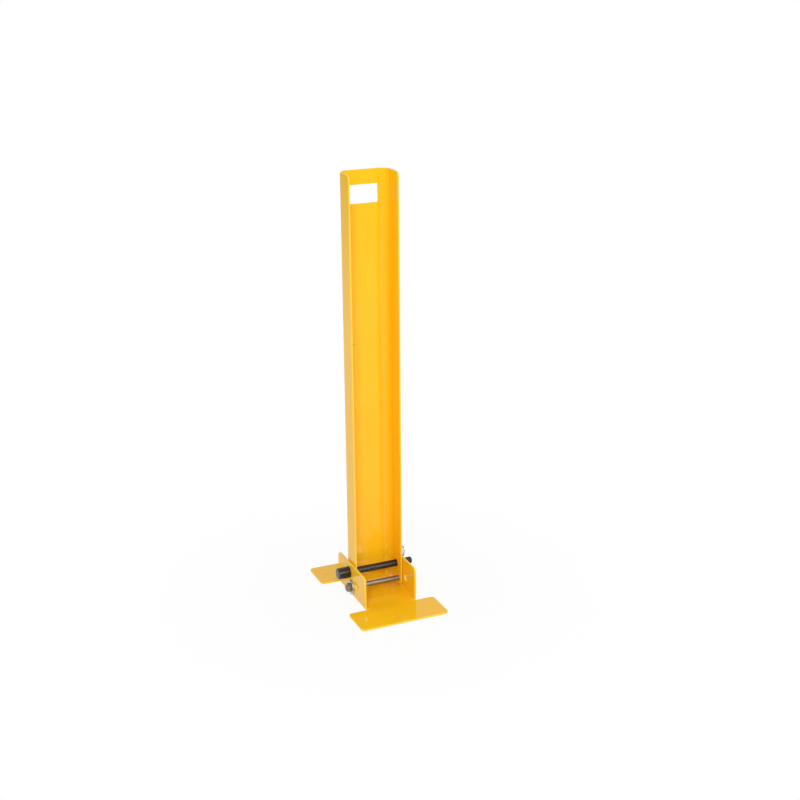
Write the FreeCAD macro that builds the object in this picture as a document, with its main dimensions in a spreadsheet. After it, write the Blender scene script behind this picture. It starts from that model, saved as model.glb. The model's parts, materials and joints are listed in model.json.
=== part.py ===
"""Folding parking bollard: a channel post hinged on a folded base bracket and held upright by a lock pin.

Frame: +X to the right, +Y to the rear, +Z up; the origin is on the ground at the middle of the base.
"""
import FreeCAD, Part
import math
import os
import Sketcher

doc = FreeCAD.newDocument("folding_parking_bollard")

# Driving dimensions in millimetres
DIMENSIONS = {
    "post_width": "100",           # outside, across the flanges
    "post_depth": "56",            # outside, front edges to the back of the web
    "post_height": "845",          # ground to the post's top
    "post_sheet": "3",
    "post_bend": "16",             # inside radius of the post's two bends
    "post_corner": "10",           # rounding of the flange corners
    "hand_hole_width": "59.2",
    "hand_hole_height": "35.4",
    "hand_hole_drop": "45.8",      # post's top down to the hole's centre
    "hand_hole_corner": "3",
    "hinge_height": "21",          # ground to the bolt's axis
    "hinge_to_front": "13",        # bolt's axis to the flanges' front edges
    "hinge_to_end": "13",          # bolt's axis to the post's lower end
    "base_depth": "292",           # front of the front foot to the back of the rear foot
    "base_sheet": "4",
    "base_bend": "4",              # inside radius of the ears' bends
    "foot_length": "182",          # along X
    "foot_width": "73",            # along Y
    "foot_corner": "8",
    "fixing_hole": "9",            # diameter
    "fixing_inset": "22",          # hole's centre to the foot's end
    "ear_height": "70",
    "ear_corner": "10",
    "ear_gap": "1",                # post's flange to the ear, each side
    "bend_relief": "2.5",          # notch between an ear and a foot
    "bolt_size": "10",
    "bolt_length": "125",          # under the head
    "bolt_head_height": "6.4",
    "bolt_tip_chamfer": "1",
    "bolt_play": "0.05",           # radial running clearance in the post's flanges
    "bolt_hole_play": "0.25",      # radial clearance in ears and washers
    "hexagon_width": "17",         # across the flats of nut and bolt head
    "hexagon_chamfer": "0.7",      # axial height of the corners' chamfer
    "nut_height": "8",
    "washer_size": "30",
    "washer_sheet": "2.5",
    "pin_size": "14",
    "pin_back": "11",              # pin's axis behind the hinge
    "pin_head_size": "23",
    "pin_head_length": "25",
    "pin_overhang": "25",          # past the right ear
    "pin_chamfer": "1.5",
    "pin_play": "0.25",            # radial clearance in the ears
    "pin_relief": "0.6",           # clearance of the post's hook slots round the pin
    "web_clearance": "1.9",        # hook slots to the inside of the web behind them
    "clip_wire": "2.5",
    "clip_play": "0.15",           # radial clearance of the clip in the pin's cross hole
    "clip_grip": "0.25",           # gap between the pin and the clip's curved leg
    "clip_stand_off": "4",         # clip to the right ear
    "clip_eye_width": "11",        # wire centre to wire centre
    "clip_eye_rise": "37",         # pin's axis to the eye's top
    "clip_eye_length": "11.2",     # eye's top down to its shoulder
    "clip_waist": "3",             # between the legs where they come closest
    "clip_waist_rise": "3.4",      # waist past the circle that hugs the pin
    "clip_leg": "16",              # pin's axis to the straight leg's end
    "clip_flare": "6",             # between the legs' ends
}

sheet = doc.addObject("Spreadsheet::Sheet", "dims")
for row, (name, text) in enumerate(DIMENSIONS.items(), start=1):
    sheet.set(f"A{row}", name)
    sheet.set(f"B{row}", text)
    sheet.setAlias(f"B{row}", name)
doc.recompute()

# Derived expressions that more than one piece shares
EAR_INSIDE = "(dims.post_width / 2 + dims.ear_gap)"
EAR_OUTSIDE = f"({EAR_INSIDE} + dims.base_sheet)"
EAR_LENGTH = "(dims.base_depth - 2 * dims.foot_width - 2 * dims.bend_relief)"
FOOT_CENTRE = "((dims.base_depth - dims.foot_width) / 2)"
POST_END = "(dims.hinge_height - dims.hinge_to_end)"
SLOT_HALF = "(dims.pin_size / 2 + dims.pin_relief)"
WEB_INSIDE = "(dims.post_depth - dims.hinge_to_front - dims.post_sheet)"
# The pin stands as far from the hinge as it can swing in front of the web
PIN_ORBIT = f"({WEB_INSIDE} - dims.web_clearance - {SLOT_HALF})"
PIN_RISE = f"sqrt({PIN_ORBIT} ^ 2 - dims.pin_back ^ 2)"
PIN_HEIGHT = f"(dims.hinge_height + {PIN_RISE})"
PIN_ANGLE = f"acos({PIN_RISE} / {PIN_ORBIT})"
WASHER_OUTSIDE = f"({EAR_OUTSIDE} + dims.washer_sheet)"
HEXAGON_RADIUS = "(dims.hexagon_width / sqrt(3))"
CLIP_PLANE = f"({EAR_OUTSIDE} + dims.clip_stand_off + dims.clip_wire / 2)"

X_AXIS = FreeCAD.Vector(1, 0, 0)
ALONG_X = FreeCAD.Rotation(FreeCAD.Vector(0, 1, 0), 90)
TOLERANCE = 0.01


def size(name):
    """A driving dimension as a plain number."""
    return float(sheet.get(name))


def new_body(label):
    body = doc.addObject("PartDesign::Body", label)
    body.Label = label
    return body


def new_sketch(body, name, role):
    """An empty sketch on one of the body's own origin planes."""
    sketch = body.newObject("Sketcher::SketchObject", name)
    plane = next(item for item in body.Origin.OriginFeatures if item.Role == role)
    sketch.AttachmentSupport = (plane, "")
    sketch.MapMode = "FlatFace"
    return sketch


def bind(sketch, constraint, expression):
    """Add a constraint whose value follows an expression of the sheet."""
    index = sketch.addConstraint(constraint)
    sketch.setExpression(f"Constraints[{index}]", expression)


def add_rectangle(sketch, left, bottom, width, height):
    """A rectangle; left and bottom place its lower left corner."""
    corners = [FreeCAD.Vector(x, y, 0) for x, y in ((1, 1), (2, 1), (2, 2), (1, 2))]
    first = sketch.GeometryCount
    for index in range(4):
        sketch.addGeometry(Part.LineSegment(corners[index], corners[(index + 1) % 4]))
    for index in range(4):
        sketch.addConstraint(
            Sketcher.Constraint("Coincident", first + index, 2, first + (index + 1) % 4, 1))
        direction = "Horizontal" if index % 2 == 0 else "Vertical"
        sketch.addConstraint(Sketcher.Constraint(direction, first + index))
    bind(sketch, Sketcher.Constraint("DistanceX", first, 1, first, 2, 1.0), width)
    bind(sketch, Sketcher.Constraint("DistanceY", first + 1, 1, first + 1, 2, 1.0), height)
    bind(sketch, Sketcher.Constraint("DistanceX", -1, 1, first, 1, 1.0), left)
    bind(sketch, Sketcher.Constraint("DistanceY", -1, 1, first, 1, 1.0), bottom)


def add_circle(sketch, across, up, radius):
    centre = FreeCAD.Vector(1, 1, 0)
    index = sketch.addGeometry(Part.Circle(centre, FreeCAD.Vector(0, 0, 1), 1.0))
    bind(sketch, Sketcher.Constraint("Radius", index, 1.0), radius)
    bind(sketch, Sketcher.Constraint("DistanceX", -1, 1, index, 3, 1.0), across)
    bind(sketch, Sketcher.Constraint("DistanceY", -1, 1, index, 3, 1.0), up)


def pad(body, sketch, length, side="One side"):
    feature = body.newObject("PartDesign::Pad", f"{sketch.Name}_pad")
    feature.Profile = sketch
    feature.SideType = side
    feature.setExpression("Length", length)
    doc.recompute()
    return feature


def removed(body, before, feature):
    """Stop if a cut took nothing away."""
    doc.recompute()
    if body.Shape.Volume > before - TOLERANCE:
        raise RuntimeError(f"{feature.Name} cuts nothing")


def cut_through(body, sketch):
    """Pocket a sketch through everything on both sides of its plane."""
    before = body.Shape.Volume
    feature = body.newObject("PartDesign::Pocket", f"{sketch.Name}_pocket")
    feature.Profile = sketch
    feature.SideType = "Symmetric"
    feature.Type = "ThroughAll"
    removed(body, before, feature)


def near(value, target):
    return abs(value - target) < TOLERANCE


def round_edges(body, name, radius, chosen):
    """Fillet the edges for which chosen(box) is true, box being the edge's bounding box."""
    doc.recompute()
    base = body.Tip
    edges = [f"Edge{index}" for index, edge in enumerate(base.Shape.Edges, start=1)
             if chosen(edge.BoundBox)]
    if not edges:
        raise RuntimeError(f"{name} finds no edge")
    feature = body.newObject("PartDesign::Fillet", name)
    feature.Base = (base, edges)
    feature.setExpression("Radius", radius)
    doc.recompute()


def upright_edge(places):
    """Chooser of vertical edges that stand at one of the (x, y) places."""
    def chosen(box):
        flat = near(box.XLength, 0) and near(box.YLength, 0)
        return flat and any(near(box.XMin, x) and near(box.YMin, y) for x, y in places)
    return chosen


def level_edge(places):
    """Chooser of edges along X that lie at one of the (y, z) places."""
    def chosen(box):
        flat = near(box.YLength, 0) and near(box.ZLength, 0)
        return flat and any(near(box.YMin, y) and near(box.ZMin, z) for y, z in places)
    return chosen


def bend_edge(places):
    """Chooser of edges along Y that lie at one of the (x, z) places."""
    def chosen(box):
        flat = near(box.XLength, 0) and near(box.ZLength, 0)
        return flat and any(near(box.XMin, x) and near(box.ZMin, z) for x, z in places)
    return chosen


def make_base_bracket():
    """Folded plate: ears bent up from a floor that runs on into a front and a rear foot."""
    body = new_body("base_bracket")
    ear_inside = size("post_width") / 2 + size("ear_gap")
    ear_outside = ear_inside + size("base_sheet")
    ear_end = size("base_depth") / 2 - size("foot_width") - size("bend_relief")

    fold = new_sketch(body, "fold_outside", "XZ_Plane")
    add_rectangle(fold, f"-{EAR_OUTSIDE}", "0", f"2 * {EAR_OUTSIDE}", "dims.ear_height")
    pad(body, fold, EAR_LENGTH, "Symmetric")
    trough = new_sketch(body, "fold_inside", "XZ_Plane")
    add_rectangle(trough, f"-{EAR_INSIDE}", "dims.base_sheet", f"2 * {EAR_INSIDE}", "dims.ear_height")
    cut_through(body, trough)
    round_edges(body, "bend_insides", "dims.base_bend",
                bend_edge([(side * ear_inside, size("base_sheet")) for side in (-1, 1)]))
    round_edges(body, "bend_outsides", "dims.base_bend + dims.base_sheet",
                bend_edge([(side * ear_outside, 0) for side in (-1, 1)]))
    round_edges(body, "ear_corners", "dims.ear_corner",
                level_edge([(end * ear_end, size("ear_height")) for end in (-1, 1)]))

    floor_half = f"({EAR_INSIDE} - dims.base_bend - dims.bend_relief)"
    floor = new_sketch(body, "floor", "XY_Plane")
    add_rectangle(floor, f"-{floor_half}", "-dims.base_depth / 2", f"2 * {floor_half}", "dims.base_depth")
    pad(body, floor, "dims.base_sheet")
    feet = new_sketch(body, "feet", "XY_Plane")
    for edge in ("-dims.base_depth / 2", "dims.base_depth / 2 - dims.foot_width"):
        add_rectangle(feet, "-dims.foot_length / 2", edge, "dims.foot_length", "dims.foot_width")
    pad(body, feet, "dims.base_sheet")
    foot_half = size("foot_length") / 2
    foot_edges = (size("base_depth") / 2, size("base_depth") / 2 - size("foot_width"))
    round_edges(body, "foot_corners", "dims.foot_corner",
                upright_edge([(side * foot_half, end * edge)
                              for side in (-1, 1) for end in (-1, 1) for edge in foot_edges]))

    fixings = new_sketch(body, "fixing_holes", "XY_Plane")
    for side in ("-", ""):
        for end in ("-", ""):
            add_circle(fixings, f"{side}(dims.foot_length / 2 - dims.fixing_inset)",
                       f"{end}{FOOT_CENTRE}", "dims.fixing_hole / 2")
    cut_through(body, fixings)

    # The pin fits a second pair of holes, where the post's own holes come to lie once it is folded down
    holes = new_sketch(body, "ear_holes", "YZ_Plane")
    pin_radius = "dims.pin_size / 2 + dims.pin_play"
    add_circle(holes, "0", "dims.hinge_height", "dims.bolt_size / 2 + dims.bolt_hole_play")
    add_circle(holes, "dims.pin_back", PIN_HEIGHT, pin_radius)
    add_circle(holes, f"-{PIN_RISE}", "dims.hinge_height + dims.pin_back", pin_radius)
    cut_through(body, holes)
    return body


def make_post_channel():
    """Folded channel, open to the front, with the hinge lugs at its lower end."""
    body = new_body("post_channel")
    half = size("post_width") / 2
    front = -size("hinge_to_front")
    back = front + size("post_depth")
    end = size("hinge_height") - size("hinge_to_end")
    web_inside = back - size("post_sheet")
    lug_back = web_inside - size("web_clearance") - size("pin_size") - 2 * size("pin_relief")

    section = new_sketch(body, "section_outside", "XY_Plane")
    section.setExpression("AttachmentOffset.Base.z", POST_END)
    add_rectangle(section, "-dims.post_width / 2", "-dims.hinge_to_front",
                  "dims.post_width", "dims.post_depth")
    pad(body, section, f"dims.post_height - {POST_END}")
    hollow = new_sketch(body, "section_inside", "XY_Plane")
    add_rectangle(hollow, "-dims.post_width / 2 + dims.post_sheet", "-dims.hinge_to_front",
                  "dims.post_width - 2 * dims.post_sheet", "dims.post_depth - dims.post_sheet")
    cut_through(body, hollow)
    inside = half - size("post_sheet")
    round_edges(body, "bend_insides", "dims.post_bend",
                upright_edge([(side * inside, web_inside) for side in (-1, 1)]))
    round_edges(body, "bend_outsides", "dims.post_bend + dims.post_sheet",
                upright_edge([(side * half, back) for side in (-1, 1)]))

    hand_hole = new_sketch(body, "hand_hole", "XZ_Plane")
    add_rectangle(hand_hole, "-dims.hand_hole_width / 2",
                  "dims.post_height - dims.hand_hole_drop - dims.hand_hole_height / 2",
                  "dims.hand_hole_width", "dims.hand_hole_height")
    cut_through(body, hand_hole)
    hole_middle = size("post_height") - size("hand_hole_drop")
    hole_sides = (size("hand_hole_width") / 2, size("hand_hole_height") / 2)
    round_edges(body, "hand_hole_corners", "dims.hand_hole_corner",
                bend_edge([(side * hole_sides[0], hole_middle + way * hole_sides[1])
                           for side in (-1, 1) for way in (-1, 1)]))

    # In front of the web the pin lies in hook slots, swept round the hinge and open at the post's lower end
    mouths = new_sketch(body, "slot_mouths", "YZ_Plane")
    add_rectangle(mouths, f"{PIN_ORBIT} - {SLOT_HALF}", f"{POST_END} - dims.post_sheet",
                  f"2 * {SLOT_HALF}", "dims.hinge_to_end + dims.post_sheet")
    cut_through(body, mouths)
    swept = new_sketch(body, "hook_slots", "XZ_Plane")
    swept.AttachmentOffset = FreeCAD.Placement(FreeCAD.Vector(), FreeCAD.Rotation(X_AXIS, 1))
    swept.setExpression("AttachmentOffset.Base.y", "dims.hinge_height")
    swept.setExpression("AttachmentOffset.Rotation.Angle", PIN_ANGLE)
    swept.setExpression("AttachmentOffset.Rotation.Axis.x", "-1")
    add_rectangle(swept, "-dims.post_width", f"{PIN_ORBIT} - {SLOT_HALF}", "2 * dims.post_width",
                  f"2 * {SLOT_HALF}")
    before = body.Shape.Volume
    groove = body.newObject("PartDesign::Groove", "hook_slots_groove")
    groove.Profile = swept
    groove.ReferenceAxis = (swept, ["H_Axis"])
    groove.Reversed = True
    groove.setExpression("Angle", f"90 deg - {PIN_ANGLE}")
    removed(body, before, groove)

    holes = new_sketch(body, "flange_holes", "YZ_Plane")
    add_circle(holes, "0", "dims.hinge_height", "dims.bolt_size / 2 + dims.bolt_play")
    add_circle(holes, "dims.pin_back", PIN_HEIGHT, SLOT_HALF)
    cut_through(body, holes)
    round_edges(body, "flange_corners", "dims.post_corner",
                level_edge([(front, size("post_height")), (front, end), (lug_back, end)]))
    return body


def make_cylinder(name, radius, height, along=None):
    """A bound cylinder; along is the expression of its lower end when it lies on the hinge's axis."""
    cylinder = doc.addObject("Part::Cylinder", name)
    cylinder.setExpression("Radius", radius)
    cylinder.setExpression("Height", height)
    if along is not None:
        lay_along_x(cylinder, along, "0", "dims.hinge_height")
    return cylinder


def put_at(item, across, back, height):
    """Bind an item's place to three expressions."""
    for axis, expression in (("x", across), ("y", back), ("z", height)):
        item.setExpression(f"Placement.Base.{axis}", expression)


def lay_along_x(item, start, back, height):
    """Turn an item's own Z to +X and put its start on the given axis."""
    item.Placement = FreeCAD.Placement(FreeCAD.Vector(), ALONG_X)
    put_at(item, start, back, height)


def join(kind, label, first, second):
    """A boolean of two items: Cut, Fuse or Common."""
    result = doc.addObject(f"Part::{kind}", label)
    result.Label = label
    result.Base = first
    result.Tool = second
    doc.recompute()
    return result


def make_hexagon(name, height, start, chamfer_start):
    """Hexagon prism on the hinge's axis, its outer corners cut back by a cone."""
    prism = doc.addObject("Part::Prism", f"{name}_prism")
    prism.Polygon = 6
    prism.setExpression("Circumradius", HEXAGON_RADIUS)
    prism.setExpression("Height", height)
    lay_along_x(prism, start, "0", "dims.hinge_height")
    cone = doc.addObject("Part::Cone", f"{name}_cone")
    narrow = "dims.hexagon_width / 2"
    wide = f"{narrow} + ({HEXAGON_RADIUS} - {narrow}) * {height} / dims.hexagon_chamfer"
    cone.setExpression("Radius1", narrow if chamfer_start else wide)
    cone.setExpression("Radius2", wide if chamfer_start else narrow)
    cone.setExpression("Height", height)
    lay_along_x(cone, start, "0", "dims.hinge_height")
    return join("Common", f"{name}_hexagon", prism, cone)


def chamfer_rims(label, item, width, chosen):
    """Chamfer the round edges of an item for which chosen(edge) is true."""
    doc.recompute()
    result = doc.addObject("Part::Chamfer", label)
    result.Label = label
    result.Base = item
    result.Edges = [(index, width, width) for index, edge in enumerate(item.Shape.Edges, start=1)
                    if chosen(edge)]
    doc.recompute()
    return result


def rim_at(place):
    """Chooser of full circles round X at one place along X."""
    def chosen(edge):
        box = edge.BoundBox
        return near(box.XLength, 0) and near(box.XMin, place) and edge.isClosed()
    return chosen


def make_hinge_bolt():
    """Hexagon bolt that the post turns on: head at the right, threaded end at the left."""
    tip = size("post_width") / 2 + size("ear_gap") + size("base_sheet") + size("washer_sheet")
    tip -= size("bolt_length")
    shank = make_cylinder("bolt_shank", "dims.bolt_size / 2", "dims.bolt_length",
                          f"{WASHER_OUTSIDE} - dims.bolt_length")
    shank = chamfer_rims("bolt_shank_chamfered", shank, size("bolt_tip_chamfer"), rim_at(tip))
    head = make_hexagon("bolt_head", "dims.bolt_head_height", WASHER_OUTSIDE, False)
    return join("Fuse", "hinge_bolt", head, shank)


def make_hinge_nut():
    """Hexagon nut outside the left washer."""
    start = f"-{WASHER_OUTSIDE} - dims.nut_height"
    hexagon = make_hexagon("nut", "dims.nut_height", start, True)
    bore = make_cylinder("nut_bore", "dims.bolt_size / 2", "dims.nut_height", start)
    return join("Cut", "hinge_nut", hexagon, bore)


def make_washer(label, start):
    """Large flat washer on the hinge bolt."""
    disc = make_cylinder(f"{label}_disc", "dims.washer_size / 2", "dims.washer_sheet", start)
    bore = make_cylinder(f"{label}_bore", "dims.bolt_size / 2 + dims.bolt_hole_play",
                         "dims.washer_sheet", start)
    return join("Cut", label, disc, bore)


def make_lock_pin():
    """Turned pin: thick head against the left ear, cross hole for the clip past the right one."""
    ear_outside = size("post_width") / 2 + size("ear_gap") + size("base_sheet")
    head = make_cylinder("pin_head", "dims.pin_head_size / 2", "dims.pin_head_length")
    lay_along_x(head, f"-{EAR_OUTSIDE} - dims.pin_head_length", "dims.pin_back", PIN_HEIGHT)
    shank = make_cylinder("pin_shank", "dims.pin_size / 2", f"2 * {EAR_OUTSIDE} + dims.pin_overhang")
    lay_along_x(shank, f"-{EAR_OUTSIDE}", "dims.pin_back", PIN_HEIGHT)
    turned = join("Fuse", "pin_turned", head, shank)
    head_end = rim_at(-ear_outside - size("pin_head_length"))
    shank_end = rim_at(ear_outside + size("pin_overhang"))
    turned = chamfer_rims("pin_chamfered", turned, size("pin_chamfer"),
                          lambda edge: head_end(edge) or shank_end(edge))
    hole = make_cylinder("pin_cross_hole", "dims.clip_wire / 2 + dims.clip_play", "2 * dims.pin_size")
    put_at(hole, CLIP_PLANE, "dims.pin_back", f"{PIN_HEIGHT} - dims.pin_size")
    return join("Cut", "lock_pin", turned, hole)


def rounded_wire(points, radii):
    """A wire through points, with a tangent arc of its own radius at each inner corner."""
    edges = []
    start = points[0]
    for before, corner, after, radius in zip(points, points[1:], points[2:], radii):
        back = (before - corner).normalize()
        ahead = (after - corner).normalize()
        half_angle = back.getAngle(ahead) / 2
        reach = radius / math.tan(half_angle)
        middle = corner + (back + ahead).normalize() * (radius / math.sin(half_angle) - radius)
        arc = Part.Arc(corner + back * reach, middle, corner + ahead * reach)
        if (arc.StartPoint - start).Length > TOLERANCE:
            edges.append(Part.LineSegment(start, arc.StartPoint).toShape())
        edges.append(arc.toShape())
        start = arc.EndPoint
    edges.append(Part.LineSegment(start, points[-1]).toShape())
    return Part.Wire(edges)


def make_retaining_clip():
    """Wire hairpin clip: one leg through the pin, the other sprung round it, an eye at the top."""
    wire = size("clip_wire")
    leg = size("clip_leg")
    eye_width = size("clip_eye_width")
    hug = size("pin_size") / 2 + wire / 2 + size("clip_grip")
    waist = size("clip_waist")
    waist_rise = hug + size("clip_waist_rise")
    # The curved leg's two straights are tangent to the circle that hugs the pin, and meet at its apex
    slope = waist_rise ** 2 - hug ** 2
    apex = (math.sqrt((waist * hug ** 2) ** 2 + slope * hug ** 2 * (waist ** 2 + waist_rise ** 2))
            - waist * hug ** 2) / slope
    top = size("clip_eye_rise") - wire / 2
    shoulder = top - size("clip_eye_length")
    outline = [(0, -leg), (0, top), (-eye_width, top), (-eye_width, shoulder), (-waist, waist_rise),
               (-apex, 0), (-waist, -waist_rise), (-size("clip_flare"), -leg - wire)]
    radii = [eye_width / 2, eye_width / 2, eye_width, wire, hug, wire]
    path = rounded_wire([FreeCAD.Vector(0, across, up) for across, up in outline], radii)
    leg_end = FreeCAD.Vector(0, 0, -leg)
    section = Part.Wire(Part.Circle(leg_end, FreeCAD.Vector(0, 0, 1), wire / 2).toShape())
    clip = doc.addObject("Part::Feature", "retaining_clip")
    clip.Label = "retaining_clip"
    clip.Shape = path.makePipeShell([section], True, True)
    put_at(clip, CLIP_PLANE, "dims.pin_back", PIN_HEIGHT)
    wanted = math.pi * (wire / 2) ** 2 * path.Length
    print(f"clip volume {clip.Shape.Volume:.1f}, section times length {wanted:.1f}")
    return clip


sub_parts = [
    make_base_bracket(),
    make_post_channel(),
    make_hinge_bolt(),
    make_hinge_nut(),
    make_washer("nut_washer", f"-{WASHER_OUTSIDE}"),
    make_washer("head_washer", EAR_OUTSIDE),
    make_lock_pin(),
    make_retaining_clip(),
]

doc.recompute()
failed = [item.Name for item in doc.Objects if "Invalid" in item.State or "Error" in item.State]
if failed:
    raise RuntimeError(f"failed objects: {failed}")
for sub_part in sub_parts:
    if sub_part.Shape.isNull() or not sub_part.Shape.isValid():
        raise RuntimeError(f"{sub_part.Label} has no valid shape")

os.makedirs("parts", exist_ok=True)
for sub_part in sub_parts:
    sub_part.Shape.exportStep(f"parts/{sub_part.Label}.step")
    box = sub_part.Shape.BoundBox
    print(f"{sub_part.Label}: {len(sub_part.Shape.Solids)} solid, {sub_part.Shape.Volume:.1f} mm3, "
          f"x {box.XMin:.2f} to {box.XMax:.2f}, y {box.YMin:.2f} to {box.YMax:.2f}, "
          f"z {box.ZMin:.2f} to {box.ZMax:.2f}")
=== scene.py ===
# %% [markdown]
# # A folding parking bollard
# The bollard is a folded sheet channel that stands on a folded floor bracket. It turns on a bolt, and a
# black pin with a wire clip keeps it upright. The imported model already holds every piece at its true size
# and place, so this lesson never moves one. It takes a copy of each piece, finishes its edges, adds what
# was too fine to draw before, such as the bolt's thread, and gives it the surface of the real one.

# %% Load the frame
import json
import math

import bmesh
import bpy
from mathutils import Matrix, Vector

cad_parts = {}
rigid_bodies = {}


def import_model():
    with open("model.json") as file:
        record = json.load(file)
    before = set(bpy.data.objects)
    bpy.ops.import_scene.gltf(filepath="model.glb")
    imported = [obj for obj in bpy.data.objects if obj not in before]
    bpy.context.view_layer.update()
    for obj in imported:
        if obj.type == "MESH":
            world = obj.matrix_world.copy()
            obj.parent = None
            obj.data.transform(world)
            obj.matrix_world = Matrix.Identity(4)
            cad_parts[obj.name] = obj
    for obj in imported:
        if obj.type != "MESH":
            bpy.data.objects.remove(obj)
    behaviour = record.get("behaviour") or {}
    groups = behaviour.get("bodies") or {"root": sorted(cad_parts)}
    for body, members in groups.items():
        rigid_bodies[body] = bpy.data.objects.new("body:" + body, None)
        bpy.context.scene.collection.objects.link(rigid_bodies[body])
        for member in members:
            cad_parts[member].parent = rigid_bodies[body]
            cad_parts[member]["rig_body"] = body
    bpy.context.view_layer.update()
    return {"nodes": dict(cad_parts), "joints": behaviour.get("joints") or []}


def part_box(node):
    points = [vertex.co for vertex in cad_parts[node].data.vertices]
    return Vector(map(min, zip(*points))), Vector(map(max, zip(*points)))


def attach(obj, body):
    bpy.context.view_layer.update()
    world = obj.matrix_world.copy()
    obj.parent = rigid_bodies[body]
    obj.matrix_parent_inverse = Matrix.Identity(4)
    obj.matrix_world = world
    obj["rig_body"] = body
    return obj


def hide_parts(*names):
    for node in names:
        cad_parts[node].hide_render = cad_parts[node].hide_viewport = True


MM = 0.001

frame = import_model()
HINGE_AXIS = Vector(frame["joints"][0]["pos_m"])
print("hinge axis at", tuple(round(value, 4) for value in HINGE_AXIS))


# %% [markdown]
# ## Building node trees in a script
# Materials and Geometry Nodes are trees of nodes. Placing them by hand is quick in the editor, but in a
# script each node takes several lines, so one helper makes a node, sets its options and fills its inputs.
# An input that is given a socket is linked to it, and any other value is simply set.

# %% Node helpers
def add_node(tree, kind, settings=None, inputs=None):
    node = tree.nodes.new(kind)
    for name, value in (settings or {}).items():
        setattr(node, name, value)
    for key, value in (inputs or {}).items():
        if isinstance(value, bpy.types.NodeSocket):
            tree.links.new(value, node.inputs[key])
        else:
            node.inputs[key].default_value = value
    return node


def calculate(tree, operation, *values):
    """A Math node's result."""
    return add_node(tree, "ShaderNodeMath", {"operation": operation}, dict(enumerate(values))).outputs[0]


def rescale(tree, value, low, high):
    """A value from 0 to 1 taken to the range from low to high."""
    inputs = {"Value": value, "To Min": low, "To Max": high}
    return add_node(tree, "ShaderNodeMapRange", None, inputs).outputs["Result"]


def new_group(name, inputs, outputs, kind="ShaderNodeTree"):
    """An empty node group with named sockets; returns it with its input and output nodes."""
    group = bpy.data.node_groups.new(name, kind)
    for label, socket_type, value in inputs:
        socket = group.interface.new_socket(label, in_out="INPUT", socket_type=socket_type)
        if value is not None:
            socket.default_value = value
    for label, socket_type in outputs:
        group.interface.new_socket(label, in_out="OUTPUT", socket_type=socket_type)
    return group, group.nodes.new("NodeGroupInput"), group.nodes.new("NodeGroupOutput")


# %% [markdown]
# ## Effects that several finishes share
# Three effects come back in more than one finish, so each is a shader group with its own inputs. Orange
# peel is the slight waviness of any sprayed or baked coat. The edge group paints the rounded edges paler:
# on the coat this is a painted highlight, standing in for the white that a rounded edge mirrors, and on a
# plated piece it is polish from handling. Its mask comes from an attribute that the meshes carry, so it
# needs no baking and stays put when the object moves. Turning marks are the fine rings that a lathe leaves
# round the X axis, which is the axis of every turned piece here.

# %% Shader groups
PEEL_DETAIL = 1.5
DRIFT_DETAIL = 3.0
BREAK_UP_DETAIL = 3.0
BREAK_UP_RANGE = (0.4, 1.2)
RING_DETAIL = 2.0


def make_orange_peel():
    group, given, result = new_group(
        "orange_peel",
        [("Cell Size", "NodeSocketFloat", 2 * MM), ("Drift Size", "NodeSocketFloat", 90 * MM)],
        [("Height", "NodeSocketFloat"), ("Drift", "NodeSocketFloat")])
    place = add_node(group, "ShaderNodeTexCoord").outputs["Object"]
    layers = [("Height", "Cell Size", PEEL_DETAIL), ("Drift", "Drift Size", DRIFT_DETAIL)]
    for output, size, detail in layers:
        scale = calculate(group, "DIVIDE", 1.0, given.outputs[size])
        noise = add_node(group, "ShaderNodeTexNoise", None,
                         {"Vector": place, "Scale": scale, "Detail": detail})
        group.links.new(noise.outputs["Fac"], result.inputs[output])
    return group


# This group's mask places the paler edge colours: a painted highlight on the coat, polish from handling on
# plated steel.
def make_edge_highlight_and_wear():
    group, given, result = new_group(
        "edge_highlight_and_wear",
        [("Break Up Size", "NodeSocketFloat", 6 * MM)],
        [("Mask", "NodeSocketFloat")])
    place = add_node(group, "ShaderNodeTexCoord").outputs["Object"]
    scale = calculate(group, "DIVIDE", 1.0, given.outputs["Break Up Size"])
    noise = add_node(group, "ShaderNodeTexNoise", None,
                     {"Vector": place, "Scale": scale, "Detail": BREAK_UP_DETAIL})
    edge = add_node(group, "ShaderNodeAttribute", {"attribute_name": "edge"}).outputs["Fac"]
    broken = calculate(group, "MULTIPLY", edge, rescale(group, noise.outputs["Fac"], *BREAK_UP_RANGE))
    group.links.new(broken, result.inputs["Mask"])
    return group


def make_turning_marks():
    group, given, result = new_group(
        "turning_marks",
        [("Ring Spacing", "NodeSocketFloat", 0.5 * MM)],
        [("Height", "NodeSocketFloat")])
    place = add_node(group, "ShaderNodeTexCoord").outputs["Object"]
    along = add_node(group, "ShaderNodeSeparateXYZ", None, {"Vector": place}).outputs["X"]
    turns = calculate(group, "DIVIDE", along, given.outputs["Ring Spacing"])
    rings = add_node(group, "ShaderNodeTexNoise", {"noise_dimensions": "1D"},
                     {"W": turns, "Scale": 1.0, "Detail": RING_DETAIL})
    group.links.new(rings.outputs["Fac"], result.inputs["Height"])
    return group


ORANGE_PEEL = make_orange_peel()
EDGE_HIGHLIGHT_AND_WEAR = make_edge_highlight_and_wear()
TURNING_MARKS = make_turning_marks()
print("shader groups:", [group.name for group in (ORANGE_PEEL, EDGE_HIGHLIGHT_AND_WEAR, TURNING_MARKS)])


# %% [markdown]
# ## Starting a finish
# Every finish is one Principled BSDF. What is the same all over the surface is set on the shader itself,
# and only what changes over it comes from nodes. The helpers place a group and mix two colours by a mask.

# %% Material helpers
def new_finish(name, roughness, **constants):
    material = bpy.data.materials.new(name)
    material.use_nodes = True
    shader = material.node_tree.nodes["Principled BSDF"]
    shader.inputs["Roughness"].default_value = roughness
    for label, value in constants.items():
        shader.inputs[label.replace("_", " ").title().replace("Ior", "IOR")].default_value = value
    return material.node_tree, shader, material


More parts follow.
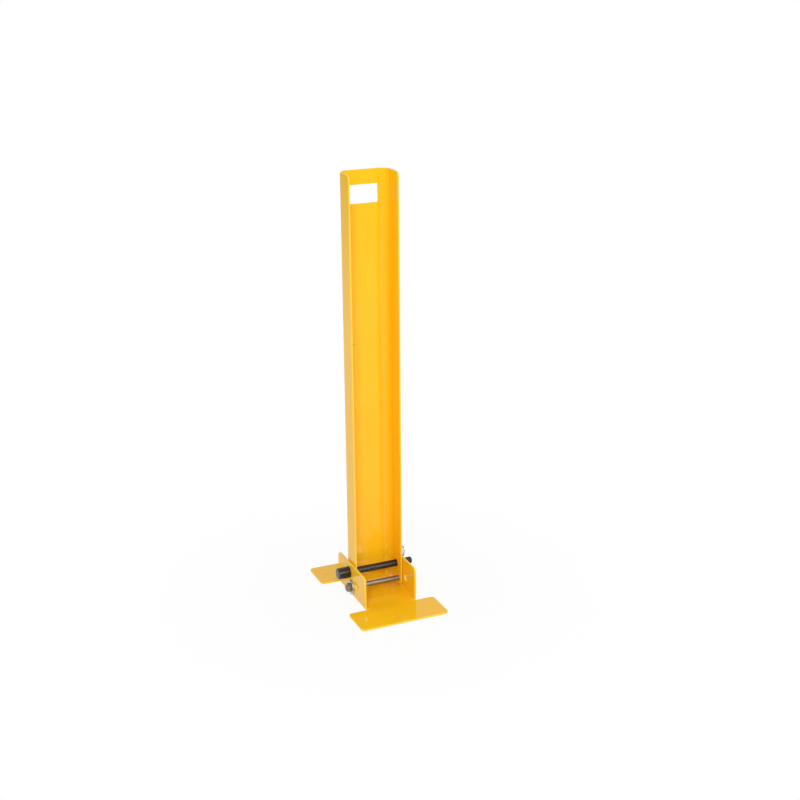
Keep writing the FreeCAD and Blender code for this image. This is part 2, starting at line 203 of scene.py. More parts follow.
def place_group(tree, group, **inputs):
    node = add_node(tree, "ShaderNodeGroup", {"node_tree": group})
    for label, value in inputs.items():
        node.inputs[label.replace("_", " ").title()].default_value = value
    return node.outputs


def mix_colours(tree, mask, first, second):
    settings = {"data_type": "RGBA", "clamp_factor": True}
    node = add_node(tree, "ShaderNodeMix", settings, {0: mask, 6: first, 7: second})
    return node.outputs[2]


def add_bump(tree, shader, height, distance, strength=1.0):
    bump = add_node(tree, "ShaderNodeBump", None,
                    {"Height": height, "Distance": distance, "Strength": strength})
    tree.links.new(bump.outputs["Normal"], shader.inputs["Normal"])


# %% [markdown]
# ## The yellow coat
# Post and bracket are powder coated: one thick, glossy layer of yellow plastic baked onto the steel. It
# mirrors its surroundings softly, so the base colour is a deep yellow and the paler look of the sides comes
# from white mirrored at a slant. The colour drifts a little with the coat's thickness, the edges and cut
# faces carry a painted highlight in a paler yellow, and one speck of dust was baked into the web.

# %% Yellow coat
COAT_DEEP = (0.94, 0.51, 0.007, 1.0)
COAT_BRIGHT = (0.98, 0.57, 0.011, 1.0)
# Painted highlight: the paler yellow that rounded edges and cut faces are mixed towards.
COAT_EDGE_HIGHLIGHT = (0.96, 0.64, 0.05, 1.0)
COAT_GLOSS = (0.03, 0.06)
COAT_WAVE = 0.03 * MM
COAT_WAVE_STRENGTH = 0.25
COAT_IOR = 1.38
COAT_CELL = 1.8 * MM
COAT_DRIFT = 70 * MM
COAT_HIGHLIGHT_BREAKS = 8 * MM
SPECK_PLACE = Vector((-24.1, 40.0, 510.5)) * MM
SPECK_RADIUS = 1.6 * MM
SPECK_COLOUR = (0.70, 0.38, 0.01, 1.0)


def make_yellow_coat():
    tree, shader, material = new_finish("yellow_coat", COAT_GLOSS[0], ior=COAT_IOR)
    peel = place_group(tree, ORANGE_PEEL, cell_size=COAT_CELL, drift_size=COAT_DRIFT)
    edge = place_group(tree, EDGE_HIGHLIGHT_AND_WEAR, break_up_size=COAT_HIGHLIGHT_BREAKS)["Mask"]
    body = mix_colours(tree, peel["Drift"], COAT_DEEP, COAT_BRIGHT)
    # Painted highlight on the edges and cut faces.
    highlighted_body = mix_colours(tree, edge, body, COAT_EDGE_HIGHLIGHT)
    place = add_node(tree, "ShaderNodeTexCoord").outputs["Object"]
    away = add_node(tree, "ShaderNodeVectorMath", {"operation": "DISTANCE"}, {0: place, 1: SPECK_PLACE})
    inside = calculate(tree, "LESS_THAN", away.outputs["Value"], SPECK_RADIUS)
    tree.links.new(mix_colours(tree, inside, highlighted_body, SPECK_COLOUR), shader.inputs["Base Color"])
    tree.links.new(rescale(tree, peel["Drift"], *COAT_GLOSS), shader.inputs["Roughness"])
    add_bump(tree, shader, peel["Height"], COAT_WAVE, COAT_WAVE_STRENGTH)
    return material


YELLOW_COAT = make_yellow_coat()
print("finish:", YELLOW_COAT.name)


# %% [markdown]
# ## The bright and the black steel
# Bolt, nut and washers are zinc plated: a metal with a fine, cloudy grain. The clip is drawn spring wire,
# smoother and brighter. The pin is turned and blackened, which is not a metal to the eye but a dark satin
# skin, so it is built as a dark dielectric with turning rings, and its handled edges show a little grey.

# %% Steel finishes
ZINC_DULL = (0.19, 0.175, 0.145, 1.0)
ZINC_BRIGHT = (0.36, 0.335, 0.28, 1.0)
ZINC_EDGE = (0.60, 0.58, 0.53, 1.0)
ZINC_CLOUD = 5 * MM
ZINC_GLOSS = (0.30, 0.46)
WIRE_DULL = (0.52, 0.51, 0.49, 1.0)
WIRE_BRIGHT = (0.74, 0.73, 0.71, 1.0)
WIRE_CLOUD = 12 * MM
WIRE_GLOSS = (0.18, 0.28)
BRIGHT_GRAIN = 0.6 * MM
BRIGHT_RINGS = 0.4 * MM
BRIGHT_EDGE_BREAKS = 2 * MM
BRIGHT_RELIEF = 0.02 * MM
BRIGHT_RELIEF_STRENGTH = 0.5
BLACK_DEEP = (0.010, 0.008, 0.006, 1.0)
BLACK_WORN = (0.020, 0.016, 0.012, 1.0)
BLACK_EDGE = (0.13, 0.125, 0.115, 1.0)
BLACK_GLOSS = (0.19, 0.25)
BLACK_IOR = 1.46
BLACK_GRAIN = 0.8 * MM
BLACK_CLOUD = 9 * MM
BLACK_RINGS = 0.6 * MM
BLACK_EDGE_BREAKS = 3 * MM
BLACK_RELIEF = 0.03 * MM
BLACK_RELIEF_STRENGTH = 0.25


def make_bright_steel(name, dull, bright, edge_colour, cloud_size, gloss):
    tree, shader, material = new_finish(name, gloss[0], metallic=1.0)
    cloud = place_group(tree, ORANGE_PEEL, cell_size=BRIGHT_GRAIN, drift_size=cloud_size)
    edge = place_group(tree, EDGE_HIGHLIGHT_AND_WEAR, break_up_size=BRIGHT_EDGE_BREAKS)["Mask"]
    rings = place_group(tree, TURNING_MARKS, ring_spacing=BRIGHT_RINGS)["Height"]
    body = mix_colours(tree, cloud["Drift"], dull, bright)
    tree.links.new(mix_colours(tree, edge, body, edge_colour), shader.inputs["Base Color"])
    tree.links.new(rescale(tree, cloud["Drift"], *gloss), shader.inputs["Roughness"])
    height = calculate(tree, "ADD", cloud["Height"], rings)
    add_bump(tree, shader, height, BRIGHT_RELIEF, BRIGHT_RELIEF_STRENGTH)
    return material


def make_black_steel():
    tree, shader, material = new_finish("black_steel", BLACK_GLOSS[0], ior=BLACK_IOR)
    cloud = place_group(tree, ORANGE_PEEL, cell_size=BLACK_GRAIN, drift_size=BLACK_CLOUD)
    edge = place_group(tree, EDGE_HIGHLIGHT_AND_WEAR, break_up_size=BLACK_EDGE_BREAKS)["Mask"]
    rings = place_group(tree, TURNING_MARKS, ring_spacing=BLACK_RINGS)["Height"]
    body = mix_colours(tree, cloud["Drift"], BLACK_DEEP, BLACK_WORN)
    tree.links.new(mix_colours(tree, edge, body, BLACK_EDGE), shader.inputs["Base Color"])
    tree.links.new(rescale(tree, cloud["Drift"], *BLACK_GLOSS), shader.inputs["Roughness"])
    height = calculate(tree, "ADD", cloud["Height"], rings)
    add_bump(tree, shader, height, BLACK_RELIEF, BLACK_RELIEF_STRENGTH)
    return material


ZINC_STEEL = make_bright_steel("zinc_steel", ZINC_DULL, ZINC_BRIGHT, ZINC_EDGE, ZINC_CLOUD, ZINC_GLOSS)
SPRING_WIRE = make_bright_steel("spring_wire", WIRE_DULL, WIRE_BRIGHT, WIRE_BRIGHT, WIRE_CLOUD, WIRE_GLOSS)
BLACK_STEEL = make_black_steel()
print("finishes:", ZINC_STEEL.name, SPRING_WIRE.name, BLACK_STEEL.name)


# %% [markdown]
# ## Finishing a piece
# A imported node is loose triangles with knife-sharp edges, and its own mesh has to stay as it is. So a copy
# is merged, its flat triangles are dissolved into whole faces, and its sharp edges are bevelled: a coated
# or turned edge is never sharp, and its small radius is what catches the light. The ridge of each bevel
# gets the value 1 in the attribute called edge, which the finishes read. Faces can also carry a note called
# cut, which a bevel's own faces never keep: the folded sheets need it below. A Weighted Normal modifier
# then keeps the flats flat and the bevels smooth, and is baked into a plain mesh.

# %% Edge finishing helpers
MERGE_DISTANCE = 0.001 * MM
FLAT_ANGLE = math.radians(0.3)
SHARP_ANGLE = math.radians(28)
BEVEL_SEGMENTS = 2
ROUND_PROFILE = 0.5
FLAT_WEIGHT = 100


def merged_copy(node):
    """The node's shape as one closed BMesh with whole flat faces."""
    shape = bmesh.new()
    shape.from_mesh(frame["nodes"][node].data)
    shape.verts.layers.float.new("edge")
    shape.faces.layers.int.new("cut")
    bmesh.ops.remove_doubles(shape, verts=shape.verts, dist=MERGE_DISTANCE)
    bmesh.ops.dissolve_limit(shape, angle_limit=FLAT_ANGLE, verts=shape.verts, edges=shape.edges)
    return shape


def bevel_sharp_edges(shape, radius, chosen=lambda edge: True):
    """Round the sharp edges that are chosen and mark the ridge of each bevel."""
    sharp = [edge for edge in shape.edges if edge.calc_face_angle(0.0) > SHARP_ANGLE and chosen(edge)]
    made = bmesh.ops.bevel(shape, geom=sharp, offset=radius, offset_type="OFFSET",
                           segments=BEVEL_SEGMENTS, profile=ROUND_PROFILE, affect="EDGES",
                           clamp_overlap=False)
    bevel_faces = set(made["faces"])
    for face in bevel_faces:
        face[shape.faces.layers.int["cut"]] = 0
    for vertex in {vertex for face in bevel_faces for vertex in face.verts}:
        if all(face in bevel_faces for face in vertex.link_faces):
            vertex[shape.verts.layers.float["edge"]] = 1.0
    return len(sharp)


def plain_mesh(piece):
    """Bake the piece's modifiers into its mesh and remove them."""
    evaluated = piece.evaluated_get(bpy.context.evaluated_depsgraph_get())
    baked = bpy.data.meshes.new_from_object(evaluated)
    piece.modifiers.clear()
    old = piece.data
    piece.data = baked
    bpy.data.meshes.remove(old)
    baked.name = piece.name


def new_piece(name, shape, material):
    """An object at the origin from a finished BMesh, smooth but with flat flats."""
    mesh = bpy.data.meshes.new(name)
    shape.to_mesh(mesh)
    shape.free()
    mesh.materials.append(material)
    mesh.shade_smooth()
    piece = bpy.data.objects.new(name, mesh)
    bpy.context.scene.collection.objects.link(piece)
    weighted = piece.modifiers.new("flat_flats", "WEIGHTED_NORMAL")
    weighted.mode = "FACE_AREA"
    weighted.weight = FLAT_WEIGHT
    plain_mesh(piece)
    return piece


def seat(piece, node):
    """Let the piece stand for its CAD node, on that node's body, with the node hidden."""
    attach(piece, frame["nodes"][node]["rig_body"])
    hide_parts(node)
    print(f"{piece.name}: {len(piece.data.polygons)} faces, stands for {node}")


# %% [markdown]
# ## The folded bracket and the folded post
# Both are cut from sheet, folded and coated. Under the coat the cut edges are broken with a file, and the
# coat pulls them rounder still, to a bit more than half a millimetre. The bracket's holes are punched and
# stay nearly sharp, so the bracket is bevelled in two goes: first the rims that lie at its holes, with a
# small radius, and then all its other edges. The post takes one radius everywhere.
#
# The narrow faces where the sheet was cut are painted a shade paler than the flats, as a painted highlight.
# They could be picked by hand, but a rule finds them all: such a face lies between two sharp edges and is
# only as wide as the sheet is thick. They are found before the bevels, while their width is still exact,
# and given the painted highlight afterwards.

# %% Coated sheets
BRACKET_EDGE_RADIUS = 0.8 * MM
POST_EDGE_RADIUS = 0.7 * MM
PUNCHED_EDGE_RADIUS = 0.2 * MM
FIXING_SPACING = (138 * MM, 219 * MM)
FIXING_REACH = 7 * MM
SECOND_EAR_HOLE = Vector((0, -28.4, 32)) * MM
EAR_HOLE_REACH = 8.5 * MM
BRACKET_SHEET = 4 * MM
POST_SHEET = 3 * MM
CUT_FACE_SPARE = 1.1
# Share of the painted edge highlight that the cut faces get.
CUT_FACE_HIGHLIGHT = 0.8

pin_low, pin_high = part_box("lock_pin")
ear_holes = [HINGE_AXIS, (pin_low + pin_high) / 2, SECOND_EAR_HOLE]


def find_cut_faces(shape, sheet):
    """Note the faces between two sharp edges that are only as wide as the sheet is thick."""
    for face in shape.faces:
        sharp = sum(edge.calc_length() for edge in face.edges if edge.calc_face_angle(0.0) > SHARP_ANGLE)
        face[shape.faces.layers.int["cut"]] = face.calc_area() < CUT_FACE_SPARE * sheet * sharp / 2


def paint_cut_face_highlight(shape):
    """Paint most of an edge's highlight onto the noted faces, which the bevels have made narrower."""
    layer = shape.verts.layers.float["edge"]
    cut_faces = [face for face in shape.faces if face[shape.faces.layers.int["cut"]]]
    for vertex in {vertex for face in cut_faces for vertex in face.verts}:
        vertex[layer] = max(vertex[layer], CUT_FACE_HIGHLIGHT)
    return len(cut_faces)


def at_punched_hole(edge):
    """True for the rims of the fixing holes in the feet and of the holes in the ears."""
    middle = (edge.verts[0].co + edge.verts[1].co) / 2
    across = abs(middle.x) - FIXING_SPACING[0] / 2
    along = abs(middle.y) - FIXING_SPACING[1] / 2
    in_ear = any((middle - hole).yz.length < EAR_HOLE_REACH for hole in ear_holes)
    return in_ear or math.hypot(across, along) < FIXING_REACH


bracket = merged_copy("base_bracket")
find_cut_faces(bracket, BRACKET_SHEET)
punched = bevel_sharp_edges(bracket, PUNCHED_EDGE_RADIUS, at_punched_hole)
rounded = bevel_sharp_edges(bracket, BRACKET_EDGE_RADIUS, lambda edge: not at_punched_hole(edge))
print(f"bracket: {rounded} edge segments rounded, {punched} left nearly as punched")
print("bracket:", paint_cut_face_highlight(bracket), "cut faces toned")
seat(new_piece("base_bracket_coated", bracket, YELLOW_COAT), "base_bracket")

post = merged_copy("post_channel")
find_cut_faces(post, POST_SHEET)
print("post:", bevel_sharp_edges(post, POST_EDGE_RADIUS), "edge segments rounded")
print("post:", paint_cut_face_highlight(post), "cut faces toned")
seat(new_piece("post_channel_coated", post, YELLOW_COAT), "post_channel")


# %% [markdown]
# ## The black pin and the wire clip
# The pin is turned from bar, so its rims are broken with a small chamfer, but the rim of the clip's cross
# hole is left as drilled. The end of its head was faced off and is a little paler, partly from the facing
# and partly as a painted reflection of the white on its left. The clip is bent from round wire, and only
# its two cut ends have edges. Sheared wire ends are deburred to a dome, so they take a bevel almost as
# large as the wire's own radius.

# %% Pin and clip
PIN_RIM_RADIUS = 0.4 * MM
WIRE_END_RADIUS = 0.7 * MM
# Partly a painted reflection: the head's faced end takes half the paler edge colour.
FACED_END_AND_REFLECTION = 0.5

clip_low, clip_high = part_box("retaining_clip")


def clear_of_clip(edge):
    """True for the pin's rims, which lie away from the clip's plane."""
    middle = (edge.verts[0].co.x + edge.verts[1].co.x) / 2
    margin = clip_high.x - clip_low.x
    return not clip_low.x - margin < middle < clip_high.x + margin


pin_shape = merged_copy("lock_pin")
bevel_sharp_edges(pin_shape, PIN_RIM_RADIUS, clear_of_clip)
# Painted reflection, with the facing: the end face is mixed halfway to the edge colour.
for vertex in pin_shape.verts:
    if vertex.co.x < pin_low.x + MERGE_DISTANCE:
        vertex[pin_shape.verts.layers.float["edge"]] = FACED_END_AND_REFLECTION
seat(new_piece("lock_pin_turned", pin_shape, BLACK_STEEL), "lock_pin")

clip_shape = merged_copy("retaining_clip")
bevel_sharp_edges(clip_shape, WIRE_END_RADIUS)
seat(new_piece("retaining_clip_wire", clip_shape, SPRING_WIRE), "retaining_clip")


# %% [markdown]
# ## Rings for round and six-sided pieces
# Bolt, nut and washers all lie on the hinge's axis. Such a piece can be drawn as a row of rings round that
# axis, each ring with its own place along X and its own radius at each angle. A round ring has one radius,
# and a six-sided one follows the formula of a hexagon, so corners, chamfers and plain shanks come from the
# same few lines. It is neater than a boolean, because the corner chamfers end in their true curved lines.

# %% Ring helpers
RING_SIDES = 72
HEXAGON_SIDES = 6
ANGLES = [2 * math.pi * step / RING_SIDES for step in range(RING_SIDES)]


def hexagon_radius(angle, across_flats):
    """Distance from the axis to a hexagon's side, with a corner at angle 0."""
    sector = 2 * math.pi / HEXAGON_SIDES
    return across_flats / 2 / math.cos(angle % sector - sector / 2)


def ring_point(place, radius, angle):
    """A point round the hinge's axis; angle 0 points up."""
    return HINGE_AXIS + Vector((place, radius * math.sin(angle), radius * math.cos(angle)))


def ringed_solid(rings, ridges=(), polish_and_light=0.0):
    """A closed shape through rings of (x, radius) pairs, one pair an angle; ridges are marked as edges.

    The last argument gives all other rings an edge value, for a piece that is brighter all over: partly
    polished, partly lifted by painted light."""
    shape = bmesh.new()
    layer = shape.verts.layers.float.new("edge")
    rows = []
    for index, ring in enumerate(rings):
        row = [shape.verts.new(ring_point(x, radius, angle)) for (x, radius), angle in zip(ring, ANGLES)]
        for vertex in row:
            vertex[layer] = 1.0 if index in ridges else polish_and_light
        rows.append(row)
    return shape, rows


def skin(shape, rows, closed):
    """Faces between neighbouring rings; closed joins the last ring to the first, as on a washer."""
    pairs = list(zip(rows, rows[1:] + rows[:1])) if closed else list(zip(rows, rows[1:]))
    for first, second in pairs:
        for index in range(RING_SIDES):
            after = (index + 1) % RING_SIDES
            shape.faces.new((first[index], first[after], second[after], second[index]))
    if not closed:
        shape.faces.new(rows[0])
        shape.faces.new(rows[-1])
    bmesh.ops.recalc_face_normals(shape, faces=shape.faces)


def round_ring(place, radius):
    return [(place, radius)] * RING_SIDES


print("rings have", RING_SIDES, "points")


# %% [markdown]
# ## Washers and nut
# A washer is punched: the punch draws the rim on one side round and leaves the other nearly square. It is
# brighter all over than bolt and nut, partly because it comes from smooth rolled strip and partly by
# painted light that lifts it out of the nut's shade. The nut is turned at both faces, which cuts its
# corners back to a circle, and its bore is countersunk.

# %% Washers and nut
BOLT_RADIUS = 5 * MM
WASHER_BORE = 5.25 * MM
WASHER_ROUND = 0.6 * MM
WASHER_ROUND_MIDDLE = 0.3
WASHER_BURR = 0.2 * MM
# The washers' all-over brighter tone is partly real, from smooth rolled strip, and partly painted light that
# lifts them out of the nut's shade.
WASHER_POLISH_AND_LIGHT = 1.0
CHAMFER_SLOPE = math.tan(math.radians(30))
FACE_SHARE = 0.96
NUT_COUNTERSINK = 0.7 * MM


def make_washer(node, outward):
    """Washer whose rounded side looks away from the ear; outward is the sign of that direction along X."""
    low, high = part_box(node)
    rim = (high.z - low.z) / 2
    seat_face, show_face = (low.x, high.x) if outward > 0 else (high.x, low.x)
    halfway = WASHER_ROUND_MIDDLE * WASHER_ROUND
    profile = [
        (seat_face, WASHER_BORE), (seat_face, rim - WASHER_BURR),
        (seat_face + outward * WASHER_BURR, rim), (show_face - outward * WASHER_ROUND, rim),
        (show_face - outward * halfway, rim - halfway),
        (show_face, rim - WASHER_ROUND), (show_face, WASHER_BORE + WASHER_BURR),
        (show_face - outward * WASHER_BURR, WASHER_BORE),
    ]
    rings = [round_ring(*point) for point in profile]
    # The whole washer gets the pale edge colour: partly its finish, partly painted light.
    shape, rows = ringed_solid(rings, ridges=(4, 7), polish_and_light=WASHER_POLISH_AND_LIGHT)
    skin(shape, rows, closed=True)
    seat(new_piece(f"{node}_punched", shape, ZINC_STEEL), node)


def chamfered_ring(face, inward, across_flats):
    """Ring where a hexagon's sides meet its face's cone; inward is the sign towards the middle."""
    circle = FACE_SHARE * across_flats / 2
    radii = [hexagon_radius(angle, across_flats) for angle in ANGLES]
    return [(face + inward * (radius - circle) * CHAMFER_SLOPE, radius) for radius in radii]


def make_nut():
    low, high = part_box("hinge_nut")
    flats = high.y - low.y
    circle = FACE_SHARE * flats / 2
    mouth = BOLT_RADIUS + NUT_COUNTERSINK
    rings = [
        round_ring(low.x + NUT_COUNTERSINK, BOLT_RADIUS), round_ring(low.x, mouth),
        round_ring(low.x, circle), chamfered_ring(low.x, 1, flats),
        chamfered_ring(high.x, -1, flats), round_ring(high.x, circle),
        round_ring(high.x, mouth), round_ring(high.x - NUT_COUNTERSINK, BOLT_RADIUS),
    ]
    shape, rows = ringed_solid(rings, ridges=(2, 5))
    skin(shape, rows, closed=True)
    seat(new_piece("hinge_nut_faced", shape, ZINC_STEEL), "hinge_nut")


make_washer("nut_washer", -1)
make_washer("head_washer", 1)
make_nut()


# %% [markdown]
# ## The bolt and its thread
# A thread is a groove that follows a rule: as the angle goes once round, the groove moves one pitch along.
# That is a job for Geometry Nodes. The tree starts from a plain shank made of many rings, works out for
# each point how far it is through the pitch, and pulls it in by up to the thread's depth. The groove fades
# out towards the plain shank and is cut off by the cone at the tip. The six-sided head is drawn with rings
# like the nut's.

# %% Thread tree
THREAD_PITCH = 1.5 * MM
THREAD_DEPTH = 0.8 * MM
THREAD_CREST = 0.06
THREAD_ROOT = 0.42
THREAD_LENGTH = 32 * MM
TIP_CHAMFER = 1.0 * MM
RINGS_A_PITCH = 8
UNDERHEAD_GAP = 0.2 * MM


def make_thread_tree():
    sizes = ["Shank Length", "Shank Radius", "Pitch", "Depth", "Thread Length", "Tip Chamfer"]
    tree, given, result = new_group(
        "rolled_thread",
        [("Geometry", "NodeSocketGeometry", None)]
        + [(label, "NodeSocketFloat", 0.0) for label in sizes]
        + [("Rings", "NodeSocketInt", RINGS_A_PITCH), ("Material", "NodeSocketMaterial", None)],
        [("Geometry", "NodeSocketGeometry")], "GeometryNodeTree")
    length, radius, pitch, depth, thread, tip = [given.outputs[label] for label in sizes]
    shank = add_node(tree, "GeometryNodeMeshCylinder", {"fill_type": "NGON"},
                     {"Vertices": RING_SIDES, "Side Segments": given.outputs["Rings"],
                      "Radius": radius, "Depth": length})
    place = add_node(tree, "ShaderNodeSeparateXYZ", None,
                     {"Vector": add_node(tree, "GeometryNodeInputPosition").outputs[0]}).outputs
    angle = calculate(tree, "ARCTAN2", place["Y"], place["X"])
    from_tip = calculate(tree, "ADD", place["Z"], calculate(tree, "MULTIPLY", length, 0.5))
    turns = calculate(tree, "SUBTRACT", calculate(tree, "DIVIDE", from_tip, pitch),
                      calculate(tree, "DIVIDE", angle, 2 * math.pi))
    wave = calculate(tree, "PINGPONG", turns, 0.5)
    flank = add_node(tree, "ShaderNodeMapRange", None,
                     {"Value": wave, "From Min": THREAD_CREST, "From Max": THREAD_ROOT}).outputs["Result"]
    runout = add_node(tree, "ShaderNodeMapRange", None,
                      {"Value": from_tip, "From Min": calculate(tree, "SUBTRACT", thread, pitch),
                       "From Max": thread, "To Min": 1.0, "To Max": 0.0}).outputs["Result"]
    cut = calculate(tree, "MULTIPLY", calculate(tree, "MULTIPLY", flank, depth), runout)
    grooved = calculate(tree, "SUBTRACT", radius, cut)
    cone = calculate(tree, "ADD", calculate(tree, "SUBTRACT", radius, tip), from_tip)
    reach = calculate(tree, "MINIMUM", grooved, cone)
    moved = add_node(tree, "ShaderNodeCombineXYZ", None,
                     {"X": calculate(tree, "MULTIPLY", calculate(tree, "COSINE", angle), reach),
                      "Y": calculate(tree, "MULTIPLY", calculate(tree, "SINE", angle), reach),
                      "Z": place["Z"]}).outputs[0]
    threaded = add_node(tree, "GeometryNodeSetPosition", None,
                        {"Geometry": shank.outputs["Mesh"], "Position": moved}).outputs[0]
    realized = add_node(tree, "GeometryNodeRealizeInstances", None, {"Geometry": threaded}).outputs[0]
    coated = add_node(tree, "GeometryNodeSetMaterial", None,
                      {"Geometry": realized, "Material": given.outputs["Material"]}).outputs[0]
    tree.links.new(coated, result.inputs["Geometry"])
    return tree


def run_tree(tree, inputs):
    """The plain mesh that a Geometry Nodes tree makes from its named inputs."""
    carrier = bpy.data.objects.new(tree.name, bpy.data.meshes.new(tree.name))
    bpy.context.scene.collection.objects.link(carrier)
    modifier = carrier.modifiers.new(tree.name, "NODES")
    modifier.node_group = tree
    sockets = {item.name: item.identifier for item in tree.interface.items_tree if item.in_out == "INPUT"}
    for label, value in inputs.items():
        modifier[sockets[label]] = value
    evaluated = carrier.evaluated_get(bpy.context.evaluated_depsgraph_get())
    made = bpy.data.meshes.new_from_object(evaluated)
    bpy.data.objects.remove(carrier)
    return made


# %% Bolt
def make_bolt():
    low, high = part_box("hinge_bolt")
    under_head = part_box("head_washer")[1].x
    flats = high.y - low.y
    circle = FACE_SHARE * flats / 2
    length = under_head - low.x + UNDERHEAD_GAP
    shank = run_tree(make_thread_tree(), {
        "Shank Length": length, "Shank Radius": BOLT_RADIUS, "Pitch": THREAD_PITCH, "Depth": THREAD_DEPTH,
        "Thread Length": THREAD_LENGTH, "Tip Chamfer": TIP_CHAMFER,
        "Rings": round(length / THREAD_PITCH * RINGS_A_PITCH), "Material": ZINC_STEEL})
    along_x = Matrix.Rotation(math.pi / 2, 4, "Y")
    middle = HINGE_AXIS + Vector((low.x + length / 2, 0, 0))
    shank.transform(Matrix.Translation(middle) @ along_x)
    rings = [round_ring(under_head, circle), chamfered_ring(under_head, 1, flats),
             chamfered_ring(high.x, -1, flats), round_ring(high.x, circle)]
    shape, rows = ringed_solid(rings, ridges=(3,))
    skin(shape, rows, closed=False)
    shape.from_mesh(shank)
    bpy.data.meshes.remove(shank)
    seat(new_piece("hinge_bolt_threaded", shape, ZINC_STEEL), "hinge_bolt")


make_bolt()


# %% [markdown]
# ## Floor and background
# The bollard stands on a pale studio floor that runs into white. To the camera, and in mirrors, the floor
# is mostly a plain white that needs no lamp, and a share of it is an ordinary matt surface that still takes
# the shadow. That share fades out with the distance, so no horizon shows. Under the two feet the floor is
# matt only: it is seen there through the fixing holes, which look dark. In mirrors the floor grows dim a
# few metres away, as it does beyond a studio's lamps: the top of the post mirrors that far floor and is a
# deeper yellow for it. To all other light the floor is matt everywhere, so it throws no extra light on the
# object. The world does the same.

# %% Floor finish
FLOOR_COLOUR = (0.93, 0.93, 0.93, 1.0)
SHADOW_REACH = (0.15, 0.60)
SHADOW_SHARE = 0.08
UNDER_FOOT = (80 * MM, 30 * MM)
DIM_REACH = (2.0, 4.6)
DIM_SHARE = 0.65
WHITE = (1.0, 1.0, 1.0, 1.0)


def seen_directly(tree):
    """1 for rays from the camera, off gloss or through glass, and 0 for all others."""
    rays = add_node(tree, "ShaderNodeLightPath").outputs
    shiny = calculate(tree, "MAXIMUM", rays["Is Glossy Ray"], rays["Is Transmission Ray"])
    return calculate(tree, "MAXIMUM", rays["Is Camera Ray"], shiny)


def floor_strength(tree, away):
    """1 for the camera; in mirrors the floor's light falls off with the distance."""
    dimness = add_node(tree, "ShaderNodeMapRange", None,
                       {"Value": away, "From Min": DIM_REACH[0], "From Max": DIM_REACH[1],
                        "To Min": 0.0, "To Max": DIM_SHARE}).outputs["Result"]
    mirrored = add_node(tree, "ShaderNodeLightPath").outputs["Is Glossy Ray"]
    return calculate(tree, "SUBTRACT", 1.0, calculate(tree, "MULTIPLY", mirrored, dimness))


def floor_whiteness(tree, place, away):
    """The share of plain white: nearly all of it, less near the object and none under the feet."""
    open_floor = add_node(tree, "ShaderNodeMapRange", {"interpolation_type": "SMOOTHSTEP"},
                          {"Value": away, "From Min": SHADOW_REACH[0], "From Max": SHADOW_REACH[1],
                           "To Min": 1.0 - SHADOW_SHARE, "To Max": 1.0}).outputs["Result"]
    across, along = [calculate(tree, "ABSOLUTE", part) for part in
                     add_node(tree, "ShaderNodeSeparateXYZ", None, {"Vector": place}).outputs[:2]]
    covered = calculate(tree, "MULTIPLY", calculate(tree, "LESS_THAN", across, UNDER_FOOT[0]),
                        calculate(tree, "COMPARE", along, FIXING_SPACING[1] / 2, UNDER_FOOT[1]))
    return calculate(tree, "MULTIPLY", open_floor, calculate(tree, "SUBTRACT", 1.0, covered))


def make_floor_finish():
    tree, matt, material = new_finish("studio_floor", 1.0, base_color=FLOOR_COLOUR)
    matt.inputs["Specular IOR Level"].default_value = 0.0
    place = add_node(tree, "ShaderNodeTexCoord").outputs["Object"]
    away = add_node(tree, "ShaderNodeVectorMath", {"operation": "LENGTH"}, {0: place}).outputs["Value"]
    white = add_node(tree, "ShaderNodeEmission", None,
                     {"Color": WHITE, "Strength": floor_strength(tree, away)})
    share = calculate(tree, "MULTIPLY", seen_directly(tree), floor_whiteness(tree, place, away))
    mixed = add_node(tree, "ShaderNodeMixShader", None,
                     {0: share, 1: matt.outputs["BSDF"], 2: white.outputs["Emission"]})
    tree.links.new(mixed.outputs[0], tree.nodes["Material Output"].inputs["Surface"])
    return material


FLOOR_FINISH = make_floor_finish()
print("finish:", FLOOR_FINISH.name)


# %% Floor and world
FLOOR_HALF = 6.0
FLOOR_DROP = 0.2 * MM
WORLD_STRENGTH = 0.60


def make_floor():
    shape = bmesh.new()
    bmesh.ops.create_grid(shape, x_segments=1, y_segments=1, size=FLOOR_HALF,
                          matrix=Matrix.Translation((0, 0, -FLOOR_DROP)))
    mesh = bpy.data.meshes.new("studio_floor")
    shape.to_mesh(mesh)
    shape.free()
    mesh.materials.append(FLOOR_FINISH)
    floor = bpy.data.objects.new("studio_floor", mesh)
    bpy.context.scene.collection.objects.link(floor)


def make_world():
    world = bpy.data.worlds.new("studio")
    world.use_nodes = True
    tree = world.node_tree
    strength = rescale(tree, seen_directly(tree), WORLD_STRENGTH, 1.0)
    background = tree.nodes["Background"]
    background.inputs["Color"].default_value = WHITE
    tree.links.new(strength, background.inputs["Strength"])
    bpy.context.scene.world = world


make_floor()
make_world()
bpy.context.scene.view_settings.view_transform = "Standard"
print("floor and world made")


# %% [markdown]
# ## Lamps
# A product shot of glossy paint is lit by large soft boxes, so that no lamp shows as a hard spot. The key
# stands high at the front left: it brightens the web and the left side, and lets the pin's shadow fall low.
# A narrow strip at the front right adds little light, but it draws the thin bright lines along the pin, its
# head and the bolt. A square box there would show as a wide glow in the front foot. Each lamp looks at the
# middle of the post.

# %% Soft boxes
LAMPS = {
    "key_box": {"place": (-2.0, -4.2, 3.1), "size": (1.8, 1.8), "power": 134.0},
    "strip_box": {"place": (1.40, -3.7, 2.13), "size": (0.15, 1.1), "power": 18.0},
}
LAMP_TARGET = Vector((0, 0, 0.4))

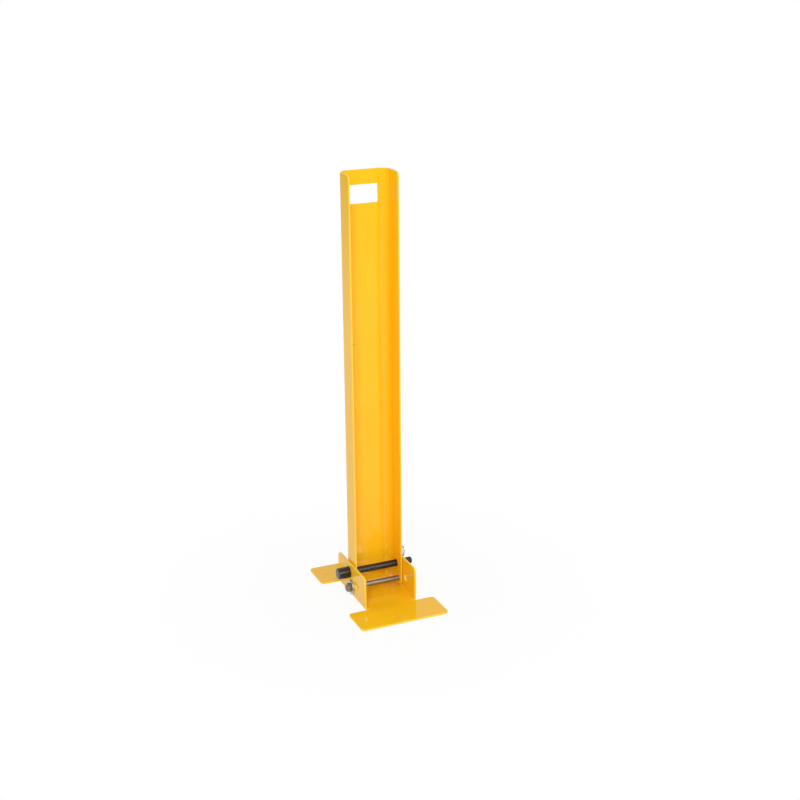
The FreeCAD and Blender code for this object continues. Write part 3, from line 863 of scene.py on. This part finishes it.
for name, values in LAMPS.items():
    lamp = bpy.data.lights.new(name, "AREA")
    lamp.shape = "RECTANGLE"
    lamp.size, lamp.size_y = values["size"]
    lamp.energy = values["power"]
    lamp_object = bpy.data.objects.new(name, lamp)
    lamp_object.location = values["place"]
    lamp_object.rotation_euler = (LAMP_TARGET - lamp_object.location).to_track_quat("-Z", "Y").to_euler()
    bpy.context.scene.collection.objects.link(lamp_object)
    print(f"{name}: {values['power']} W")


# %% [markdown]
# ## Camera
# The view was found by fitting a camera to the straight edges of the real object: where it stands, how long
# its lens is, and how far it was tilted. The angles are azimuth round the object, elevation above the floor
# and a slight roll.

# %% Camera
CAMERA_AZIMUTH = math.radians(-23.46)
CAMERA_ELEVATION = math.radians(19.119)
CAMERA_ROLL = math.radians(-0.465)
CAMERA_TARGET = Vector((0.05376, 0.0, 0.3996))
CAMERA_DISTANCE = 2.7294
FOCAL_PIXELS = 1410.8
IMAGE_PIXELS = 800
SENSOR_WIDTH = 36.0

towards_camera = Vector((math.sin(CAMERA_AZIMUTH) * math.cos(CAMERA_ELEVATION),
                         -math.cos(CAMERA_AZIMUTH) * math.cos(CAMERA_ELEVATION),
                         math.sin(CAMERA_ELEVATION)))
level_right = Vector((math.cos(CAMERA_AZIMUTH), math.sin(CAMERA_AZIMUTH), 0))
level_up = towards_camera.cross(level_right)
right = math.cos(CAMERA_ROLL) * level_right + math.sin(CAMERA_ROLL) * level_up
up = towards_camera.cross(right)

lens = bpy.data.cameras.new("photo_view")
lens.sensor_width = SENSOR_WIDTH
lens.lens = FOCAL_PIXELS / IMAGE_PIXELS * SENSOR_WIDTH
camera = bpy.data.objects.new("photo_view", lens)
turned = Matrix((right, up, towards_camera)).transposed().to_4x4()
camera.matrix_world = Matrix.Translation(CAMERA_TARGET + CAMERA_DISTANCE * towards_camera) @ turned
bpy.context.scene.collection.objects.link(camera)
bpy.context.scene.camera = camera
print(f"camera: {lens.lens:.1f} mm lens, {CAMERA_DISTANCE:.2f} m away")
